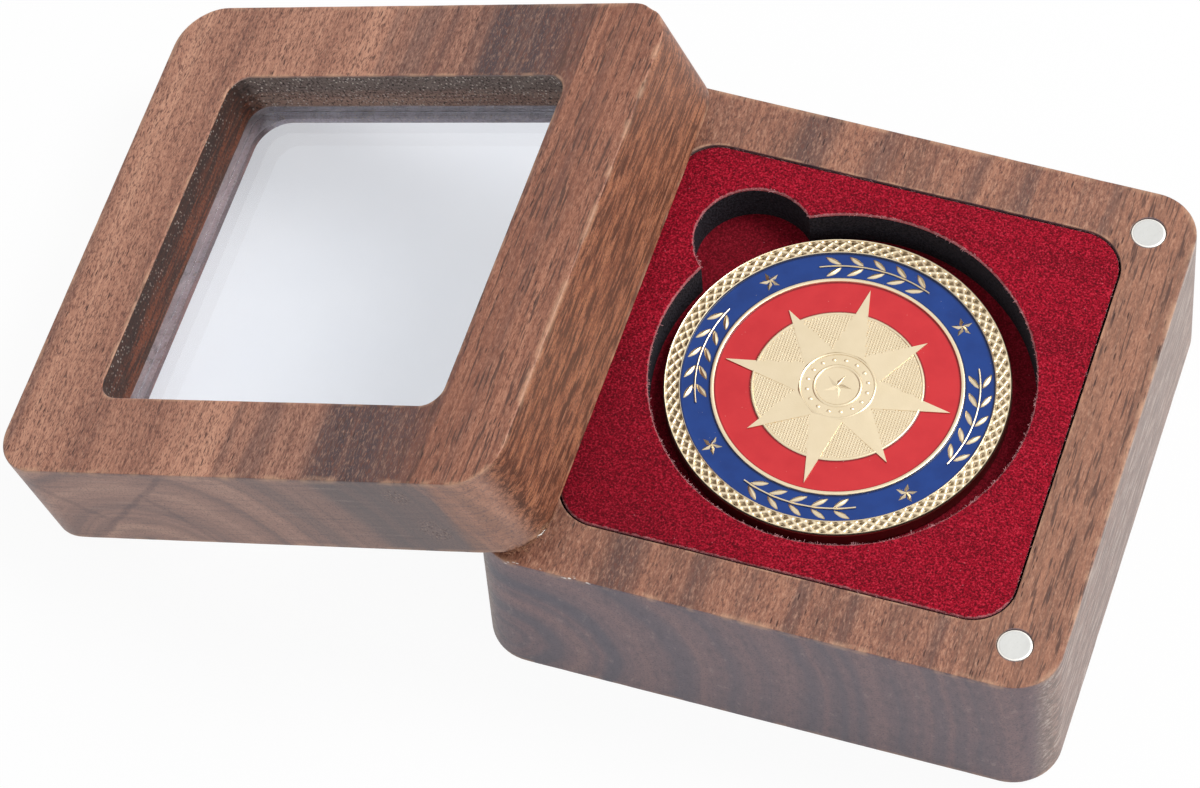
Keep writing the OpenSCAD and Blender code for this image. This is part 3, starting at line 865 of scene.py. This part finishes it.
def pocket_loop(grow=0.0, step=0.45):
    """Outline of the coin pocket and its thumb notch."""
    r, n = POCKET_R + grow, NOTCH_R + grow
    # Angles where the two circles cross, seen from each centre, with the notch along +X
    cross_x = (r * r - n * n + NOTCH_REACH ** 2) / (2 * NOTCH_REACH)
    cross_y = math.sqrt(r * r - cross_x ** 2)
    a, b = math.atan2(cross_y, cross_x), math.atan2(cross_y, cross_x - NOTCH_REACH)
    points = []
    for radius, start, sweep, middle in ((r, a, 2 * math.pi - 2 * a, 0), (n, -b, 2 * b, NOTCH_REACH)):
        count = round(radius * sweep / step)
        turns = [start + sweep * i / count for i in range(count)]
        points += [(middle + radius * math.cos(turn), radius * math.sin(turn)) for turn in turns]
    c, s = math.cos(NOTCH_ANGLE), math.sin(NOTCH_ANGLE)
    return [(x * c - y * s, x * s + y * c) for x, y in points]


def pocket_area():
    """Area of the pocket's outline in square millimetres."""
    points = pocket_loop()
    return abs(sum(a[0] * b[1] - b[0] * a[1] for a, b in zip(points, points[1:] + points[:1]))) / 2


def make_insert():
    """Foam, the two velvet sheets and the fibres along their cut edges."""
    outer = rounded_square(INSERT_SIDE, INSERT_R, 16, 60)
    foam_top = FLOOR_Z + FOAM_H
    foam_piece = outline_piece("foam_layer", [outer, pocket_loop()], FLOOR_Z, foam_top, 0.05, black_foam)
    stands_for(smooth(foam_piece), "base", "foam_insert")
    top = outline_piece("velvet_top", [outer, pocket_loop()], foam_top, BASE_H, 0.3, red_velvet)
    stands_for(smooth(top, 60), "base", "top_velvet")
    cut_edge = [(x, y, BASE_H - 0.06) for x, y in pocket_loop(0.04)]
    rim_edge = [(x, y, BASE_H - 0.1) for x, y in outer]
    fringe = [make_fibres("velvet_fray_pocket", cut_edge, True, frayed_edge, HERE, 3, Fibres=2600, Lean=0.5,
                          Spread=1.5, Longest=0.3, Thickness=0.075, Depth=0.2),
              make_fibres("velvet_fray_rim", rim_edge, True, frayed_edge, HERE, 40, Fibres=1300, Lean=0.0,
                          Spread=1.2, Longest=0.22, Thickness=0.07, Depth=0.15)]
    for fibres in fringe:
        stands_for(fibres, "base", "top_velvet")
    cut_area = (INSERT_SIDE * MM) ** 2 - (4 - math.pi) * (INSERT_R * MM) ** 2 - pocket_area() * MM * MM
    floor = outline_piece("velvet_floor", [outer], FLOOR_Z - VELVET_H, FLOOR_Z, 0.1, shaded_pocket_velvet)
    stands_for(smooth(floor, 60), "base", "floor_velvet")


def make_fibres(name, path, closed, material, place, seed, **sizes):
    """Torn fibres along a cut edge, longer in tufts."""
    curve = bpy.data.curves.new(name, "CURVE")
    curve.dimensions = "3D"
    spline = curve.splines.new("POLY")
    spline.points.add(len(path) - 1)
    for point, at in zip(spline.points, path):
        point.co = (*at, 1)
    spline.use_cyclic_u = closed
    edge = linked(name, curve)
    t = Tree(name, Seed=seed, **sizes)
    start, fibres, lean, spread, longest, thickness, depth = t.sizes(*t.values)
    seats = t.node("GeometryNodeCurveToPoints", {"mode": "COUNT"},
                   {"Curve": Wire(t, t.entry.outputs["Geometry"]), "Count": fibres})
    tangent = t.xyz(seats.outputs()[1])
    x, y, z = t.position()
    slip, lift = t.chance(-0.1, 0.1, start + 1), t.chance(-1.0, 0.0, start + 2) * depth
    spots = t.moved(seats, t.vector(x - tangent[1] * slip, y + tangent[0] * slip, z + lift))
    bent = t.node("GeometryNodeCurvePrimitiveBezierSegment", {"mode": "POSITION"},
                  {"Resolution": 4, "Start": (0, 0, 0), "Start Handle": (0.35, 0.1, 0.15),
                   "End Handle": (0.7, -0.1, 0.2), "End": (1.0, 0.1, 0.0)})
    profile = t.circle(3, thickness)
    hair = t.tube(bent, profile)
    heading = tangent[1].bearing(tangent[0]) + lean + t.chance(-1.0, 1.0, start + 3) * spread
    clouds = t.node("ShaderNodeTexNoise", {}, {"Vector": t.node("GeometryNodeInputPosition"), "Scale": 1.3,
                                               "Detail": 2.0})
    tuft = t.rise(clouds, 0.42, 0.66)
    size = (t.chance(0.15, 1.0, start + 4) ** 2.0 * longest + 0.12) * (0.5 + tuft * 0.8)
    turn = t.vector(t.chance(-0.6, 0.6, start + 5), t.chance(-0.5, 0.35, start + 6), heading)
    hairs = t.copies(spots, hair, turn, t.vector(size, size, size))
    piece = t.made(name, hairs, material, place, edge)
    tidy(piece.data, 1e-8)
    return piece


def make_magnets():
    """Plated discs with eased edges, four in the base and four in the lid."""
    profile = [(0, 0), (2.3, 0), (2.44, 0.06), (MAGNET_R, 0.2), (MAGNET_R, 1.8), (2.44, 1.94),
               (2.3, MAGNET_H), (2.1, MAGNET_H), (0, 1.985)]
    for name, (x, y) in CORNERS.items():
        x, y = x * MAGNET_AT, y * MAGNET_AT
        in_base = Matrix.Translation((x, y, BASE_H - MAGNET_H - MAGNET_SINK))
        in_lid = LID_PLACE @ Matrix.Translation((x, y, MAGNET_SINK + MAGNET_H)) @ OVER
        for body, place in (("base", in_base), ("lid", in_lid)):
            disc = new_piece(f"nickel_disc_{body}_{name}", lathe(profile, 64), [nickel_plate[body]], place)
            stands_for(smooth(disc), body, f"{body}_magnet_{name}")


# Lid

def make_lid():
    """Window frame with its ledge and recess, the splinters along one edge, and the pane."""
    profile = worn_edge(CASE_SIDE, CORNER_R, 0, EASE, False, True, 4)
    profile += worn_edge(CASE_SIDE, CORNER_R, LID_H, EASE, True, True, 4)[::-1]
    profile += worn_edge(WINDOW_SIDE, WINDOW_R, LID_H, WINDOW_EASE, True, False, 3, WINDOW_WORN)
    profile += [(WINDOW_SIDE, WINDOW_R, PANE_TOP, 0.0), (WINDOW_SIDE, WINDOW_R, PANE_BOTTOM, 0.0),
                (SIGHT_SIDE, SIGHT_R, PANE_BOTTOM, 0.0), (SIGHT_SIDE, SIGHT_R, LID_RECESS_H, 0.0),
                (RECESS_SIDE, RECESS_R, LID_RECESS_H, 0.0)]
    profile += worn_edge(RECESS_SIDE, RECESS_R, 0, RECESS_EASE, False, False, 2, RECESS_WORN)[::-1]
    cutters = magnet_cutters(0, OVER)
    block = wood_block("walnut_lid", profile, True, (), cutters, [lid_wood, wall_wood], LID_CHIPS)
    for face in block.data.polygons:
        c = face.center / MM
        inside = max(abs(c.x), abs(c.y)) < WINDOW_SIDE / 2 + 0.05
        if inside and LID_RECESS_H - 0.1 < c.z < LID_H - 0.2:
            face.material_index = 1
    settle(block.data, LID_PLACE)
    stands_for(smooth(block), "lid", "lid_frame")
    corner = CASE_SIDE / 2 - CORNER_R
    torn = [(corner + CORNER_R * math.cos(a), -corner + CORNER_R * math.sin(a), 0.12)
            for a in np.linspace(math.radians(-80), math.radians(0), 24)]
    splinters = make_fibres("lid_splinters", torn, False, torn_wood, LID_PLACE, 71, Fibres=150, Lean=-0.5,
                            Spread=1.0, Longest=1.0, Thickness=0.12, Depth=0.1)
    stands_for(splinters, "lid", "lid_frame")
    edge = rounded_square(WINDOW_SIDE - 2 * PANE_GAP, WINDOW_R - PANE_GAP, 10, 2)
    pane = outline_piece("acrylic_pane", [edge], PANE_BOTTOM, PANE_TOP, 0.12, clear_acrylic, LID_PLACE)
    pane.visible_shadow = False
    stands_for(smooth(pane), "lid", "window_pane")


# Coin

def around(t, radius, angle, height):
    """The point at an angle round the coin's middle."""
    return t.vector(radius * angle.quarter_wave(), radius * angle.wave(), height)


def make_rim_lattice():
    """Rim of crossed raised threads with a pit between them, as one closed ring."""
    rows, columns = 19, 960
    t = Tree("rim lattice", Inner_radius=22.78, Outer_radius=24.74, Meshes_round=80, Meshes_across=1.48,
             Low=2.6, Relief=0.27)
    inner, outer, round_count, across_count, low, relief = t.sizes(*t.values)
    sheet = t.grid(1.0, columns + 1, rows + 1)
    x, y, z = t.position()
    turn = (x + 0.5) * round_count
    row = ((y + 0.5) * rows + 0.5).floor()
    across = ((row - 1) / (rows - 3)).most(0).least(1)
    across = across * (1 - row.above(rows - 0.5))
    height = 0
    for sense in (1, -1):
        thread = ((turn + (across - 0.5) * across_count * sense).fract() * 2 - 1).absolute()
        height = t.rise(thread, 0.66, 0.12).most(height)
    on_top = row.above(0.5) * row.below(rows - 1.5)
    border = t.rise((across - 0.5).absolute(), 0.42, 0.48)
    z = low - 0.3 + on_top * (0.3 + relief * height.most(border * 0.75))
    ring = t.moved(sheet, around(t, inner + (outer - inner) * across, (x + 0.5) * (2 * math.pi), z))
    ring = t.node("GeometryNodeMergeByDistance", {}, {"Geometry": ring, "Distance": 0.0005})
    lattice = t.made("coin_rim_lattice", ring, gold_plate, HERE)
    return outward(lattice, COIN_PLACE, 50)


def outward(piece, place, degrees):
    """Puts a piece that was made about the origin in its place, with its faces turned outwards."""
    tidy(piece.data, 1e-8)
    settle(piece.data, place)
    return smooth(piece, degrees)


def peaked_star(t, tips, radii, heights, top_radius, low):
    """Closed faceted star: tips and waists by turns, with a ridge from each tip to the middle."""
    cone = t.node("GeometryNodeMeshCone", {"fill_type": "NGON"},
                  {"Vertices": 2 * tips, "Side Segments": 2, "Radius Top": 0.5, "Radius Bottom": 1.0,
                   "Depth": 2.0})
    x, y, z = t.position()
    angle = y.bearing(x)
    turn = (angle * (tips / math.pi) + 0.5).floor().rest(4)
    waist = (turn / 2).fract() * 2
    second = turn.equals(2.0, 0.5)
    reach = radii[0] + waist * (radii[2] - radii[0]) + second * (radii[1] - radii[0])
    peak = z.above(1.5)
    foot = z.below(0.5)
    radius = peak * (top_radius - reach) + reach
    ridge = heights[0] + waist * (heights[2] - heights[0])
    height = ridge + peak * (heights[1] - heights[0]) * (1 - waist) + foot * (low - ridge)
    return t.moved(cone, around(t, radius, angle, height))


def make_ring_marks():
    """Sprays of paired leaves on a stem, with a faceted star between two sprays."""
    t = Tree("ring marks", Sprays=4, Pairs=5, Step=math.radians(9), Length=2.8, Width=1.3,
             Slant=math.radians(32), Off=0.95, Ring_middle=20.45, Floor=2.35, Leaf_height=0.48, Stem=0.13,
             Star_height=2.86)
    sprays, pairs, step, length, width, slant, off, middle, floor, tall, stem, star_top = t.sizes(*t.values)
    ball = t.node("GeometryNodeMeshUVSphere", {}, {"Segments": 16, "Rings": 10, "Radius": 1.0})
    x, y, z = t.position()
    slim = (1 - z * z).most(0.0) ** 0.5
    side = (y / slim.most(0.001)).absolute().least(1)
    rib = t.rise(side, 0.3, 0.05) * 0.14
    vein = (z * 13 - side * 5).wave() * 0.05 * t.rise(side, 0.15, 0.5)
    over = x.above(0.0)
    height = over * tall * slim ** 0.6 * ((1 - side ** 2.2) * 0.86 + rib + vein)
    leaf = t.moved(ball, t.vector(z * length * 0.5, y * slim ** 0.5 * width * 0.5, height - slim * 0.1))
    row = t.node("GeometryNodeMeshLine", {}, {"Count": sprays * pairs * 2})
    i = t.index()
    flank = (i / 2).fract() * 4 - 1
    pair = (i / 2).floor().rest(pairs)
    spray = ((i / 2).floor() / pairs).floor()
    angle = spray * (2 * math.pi) / sprays + (pair - (pairs - 1) / 2) * step
    seats = t.moved(row, around(t, middle + flank * off, angle, floor))
    leaves = t.copies(seats, leaf, t.vector(0, 0, angle + math.pi / 2 - flank * slant))
    arc = t.node("GeometryNodeCurveArc", {"mode": "RADIUS"},
                 {"Resolution": 28, "Radius": middle, "Start Angle": (pairs + 0.3) * step * -0.5,
                  "Sweep Angle": (pairs + 0.3) * step})
    profile = t.circle(8, stem)
    tube = t.tube(arc, profile)
    spots = t.node("GeometryNodeMeshLine", {}, {"Count": sprays})
    turn = t.index() * (2 * math.pi) / sprays
    stems = t.copies(t.moved(spots, t.vector(0, 0, floor + 0.28)), tube, t.vector(0, 0, turn))
    star = peaked_star(t, 5, (1.6, 1.6, 0.7), (floor + 0.18, star_top, floor + 0.14), 0.04, floor - 0.1)
    between = turn + math.pi / sprays
    stars = t.copies(t.moved(spots, around(t, middle, between, 0)), star, t.vector(0, 0, between))
    marks = t.made("coin_ring_marks", t.joined(leaves, stems, stars), gold_plate, HERE)
    return outward(marks, COIN_PLACE, 32)


def make_medallion():
    """Compass rose over a ground of tiny pyramids, with a beaded roundel in its middle."""
    t = Tree("medallion", Ground=2.6, Ground_radius=12.0, Pitch=0.42, Pyramid=0.1, Long_point=16.8,
             Short_point=14.7, Waist=6.1, Roundel=5.75, Beads=16, Bead_circle=4.4, Bead=0.36)
    across = 58
    sizes = t.sizes(*t.values)
    ground, reach, pitch, tall, long_point, short_point, waist, roundel, beads, bead_circle, bead = sizes
    rose = peaked_star(t, 8, (long_point, short_point, waist), (ground + 0.12, ground + 0.3, ground + 0.03),
                       roundel, 2.3)
    field = t.grid(pitch * across, across + 1, across + 1)
    x, y, z = t.position()
    distance = span(x, y)
    near_rose = t.node("GeometryNodeProximity", {"target_element": "FACES"},
                       {"Geometry": rose, "Sample Position": t.vector(x, y, ground)}, out="Distance")
    off = distance.above(reach).most(distance.below(roundel + 0.2)).most(near_rose.below(0.08))
    spots = t.node("GeometryNodeDeleteGeometry", {"domain": "POINT"}, {"Geometry": field, "Selection": off})
    pyramid = t.node("GeometryNodeMeshCone", {"fill_type": "NGON"},
                     {"Vertices": 4, "Radius Top": 0.0, "Radius Bottom": pitch * 0.68, "Depth": tall + 0.05})
    stipple = t.copies(t.moved(spots, t.vector(x, y, ground - 0.05)), pyramid, (0, 0, math.pi / 4))
    ring = t.node("GeometryNodeMeshCircle", {}, {"Vertices": beads, "Radius": bead_circle})
    x, y, z = t.position()
    ball = t.node("GeometryNodeMeshIcoSphere", {}, {"Radius": bead, "Subdivisions": 2})
    beading = t.copies(t.moved(ring, t.vector(x, y, 2.5)), ball, (0, 0, 0), (1, 1, 0.75))
    star = peaked_star(t, 5, (2.3, 2.3, 0.95), (2.62, 2.86, 2.58), 0.04, 2.3)
    relief = t.made("coin_medallion", t.joined(rose, stipple, beading, star), gold_plate, HERE)
    return outward(relief, COIN_PLACE, 20)


def make_coin():
    """Struck blank, the marks on it, and enamel in its channels."""
    gold_profile = [
        (0, 0), (22.8, 0), (23.0, 0.0), (24.65, 0), (24.9, 0.1), (COIN_R, 0.35), (COIN_R, 2.65),
        (24.94, 2.86), (24.82, 2.97), (24.7, 2.93), (24.62, 2.6), (22.88, 2.6), (22.8, 2.92), (22.72, 2.97),
        (22.63, 2.9), (RING_OUT, 2.75), (RING_OUT, CHANNEL_Z), (RING_IN, CHANNEL_Z), (RING_IN, 2.7),
        (18.24, 2.8), (18.1, 2.85), (17.9, 2.85), (17.76, 2.8), (FIELD_R, 2.7), (FIELD_R, CHANNEL_Z),
        (MEDALLION_R, CHANNEL_Z), (MEDALLION_R, 2.6), (12.42, 2.69), (12.3, 2.72), (12.15, 2.7),
        (12.05, 2.6), (5.72, 2.6), (5.62, 2.72), (5.45, 2.78), (5.28, 2.72), (ROUNDEL_R, 2.6),
        (ROUNDEL_R, CHANNEL_Z), (ROUNDEL_IN, CHANNEL_Z), (ROUNDEL_IN, 2.65), (3.5, 2.76), (3.35, 2.8),
        (3.2, 2.76), (DOT_R, 2.65), (DOT_R, CHANNEL_Z), (0, CHANNEL_Z)]
    blank = new_piece("coin_gold", lathe(gold_profile, 240), [gold_plate], COIN_PLACE)
    for gold_piece in (smooth(blank), make_rim_lattice(), make_ring_marks(), make_medallion()):
        stands_for(gold_piece, "coin", "coin_blank")
    gap = 0.01
    low, top = CHANNEL_Z + gap, ENAMEL_Z
    for name, outer, inner, material, slot in (
            ("enamel_blue_ring", RING_OUT, RING_IN, blue_enamel, "blue_enamel"),
            ("enamel_blue_roundel", ROUNDEL_R, ROUNDEL_IN, blue_enamel, "blue_enamel"),
            ("enamel_red_field", FIELD_R, MEDALLION_R, red_enamel, "red_enamel"),
            ("enamel_red_dot", DOT_R, 0, red_enamel, "red_enamel")):
        outer = outer - gap
        # The enamel creeps up a little where it meets the gold
        profile = [(outer, low), (outer, top + 0.06), (outer - 0.12, top + 0.01), (outer - 0.5, top)]
        if inner:
            inner = inner + gap
            profile += [(inner + 0.5, top), (inner + 0.12, top + 0.01), (inner, top + 0.06), (inner, low)]
            mesh = lathe(profile, closed=True)
        else:
            mesh = lathe([(0, low), *profile, (0, top)], 96)
        piece = smooth(new_piece(name, mesh, [material], COIN_PLACE))
        stands_for(piece, "coin", f"coin_{slot}")


make_base()
make_insert()
make_lid()
make_magnets()
make_coin()
